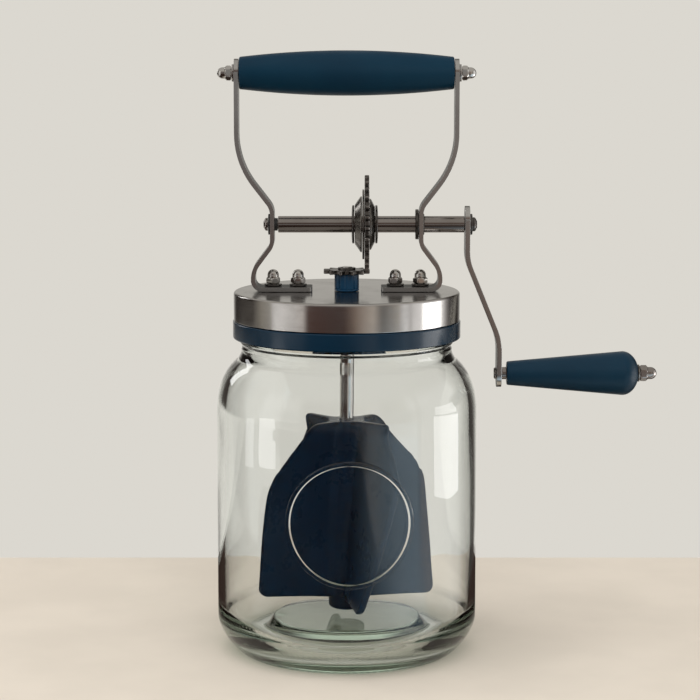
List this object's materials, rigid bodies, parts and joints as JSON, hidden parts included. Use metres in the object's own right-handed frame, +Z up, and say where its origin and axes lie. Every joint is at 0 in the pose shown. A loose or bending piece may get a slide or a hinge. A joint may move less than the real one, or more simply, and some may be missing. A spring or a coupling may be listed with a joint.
{
  "type": "butter churn",
  "caption": "A butter churn: a clear glass jar under a steel lid that carries a bent steel frame with a blue grip, a geared hand crank and a twisted blue paddle.",
  "frame": {"origin": "centre of the jar on the plane that it stands on", "axes": "+Z up, +X towards the hand crank, -Y to the front, from where the gear is seen on its edge and the crank is on the right"},
  "size_m": [0.2503, 0.148, 0.3416],
  "materials": {
    "clear_glass": "clear pressed glass with a faint green tint",
    "brushed_steel": "brushed stainless steel",
    "polished_steel": "bright polished steel",
    "dark_steel": "dark sintered steel",
    "black_plastic": "black acetal",
    "grip_plastic": "dark blue lacquered turned grip",
    "blue_plastic": "mid blue moulded plastic",
    "blue_silicone": "blue silicone with a soft sheen",
    "seal_rubber": "translucent white silicone seal"
  },
  "bodies": {
    "jar": {"glass_jar": "clear_glass"},
    "lid": {"bush_nut": "brushed_steel", "foot_bolt_left_inner": "brushed_steel", "foot_bolt_left_outer": "brushed_steel", "foot_bolt_right_inner": "brushed_steel", "foot_bolt_right_outer": "brushed_steel", "foot_nut_left_inner": "polished_steel", "foot_nut_left_outer": "polished_steel", "foot_nut_right_inner": "polished_steel", "foot_nut_right_outer": "polished_steel", "foot_washer_left_inner": "dark_steel", "foot_washer_left_outer": "dark_steel", "foot_washer_right_inner": "dark_steel", "foot_washer_right_outer": "dark_steel", "frame_arm_left": "brushed_steel", "frame_arm_right": "brushed_steel", "handle_grip": "grip_plastic", "handle_nut_left": "polished_steel", "handle_nut_right": "polished_steel", "handle_rod": "polished_steel", "handle_washer_left": "brushed_steel", "handle_washer_right": "brushed_steel", "left_bush": "black_plastic", "lid_collar": "blue_plastic", "lid_gasket": "seal_rubber", "lid_shell": "brushed_steel", "right_bush": "brushed_steel", "shaft_bush": "blue_plastic"},
    "crank": {"crank_arm": "brushed_steel", "crank_screw": "dark_steel", "crank_shaft": "polished_steel", "crank_washer": "dark_steel", "drive_gear": "dark_steel", "gear_flange": "brushed_steel", "grip_collar": "polished_steel", "grip_nut": "polished_steel", "grip_spindle": "polished_steel", "grip_washer": "dark_steel", "hub_dome_left": "brushed_steel", "hub_dome_right": "brushed_steel", "hub_washer_left": "polished_steel", "hub_washer_right": "polished_steel", "shaft_screw": "polished_steel", "shaft_washer": "black_plastic"},
    "crank_handle": {"crank_grip": "grip_plastic"},
    "paddle": {"paddle": "blue_silicone", "paddle_shaft": "polished_steel", "pinion_gear": "dark_steel", "shaft_stop_ring": "polished_steel"}
  },
  "joints": [
    {"name": "lid_lift", "type": "slide", "parent": "jar", "child": "lid", "axis": [0, 0, 1], "range_m": [0, 0.19]},
    {"name": "crank_turn", "type": "hinge", "parent": "lid", "child": "crank", "pos_m": [0, 0, 0.2442], "axis": [1, 0, 0], "continuous": true},
    {"name": "grip_spin", "type": "hinge", "parent": "crank", "child": "crank_handle", "pos_m": [0.12, 0, 0.1593], "axis": [1, 0, 0], "continuous": true},
    {"name": "paddle_turn", "type": "hinge", "parent": "lid", "child": "paddle", "pos_m": [0, 0, 0.1], "axis": [0, 0, 1], "continuous": true}
  ],
  "couplings": [
    {"joint": "paddle_turn", "follows": "crank_turn", "ratio": 2.3333}
  ]
}
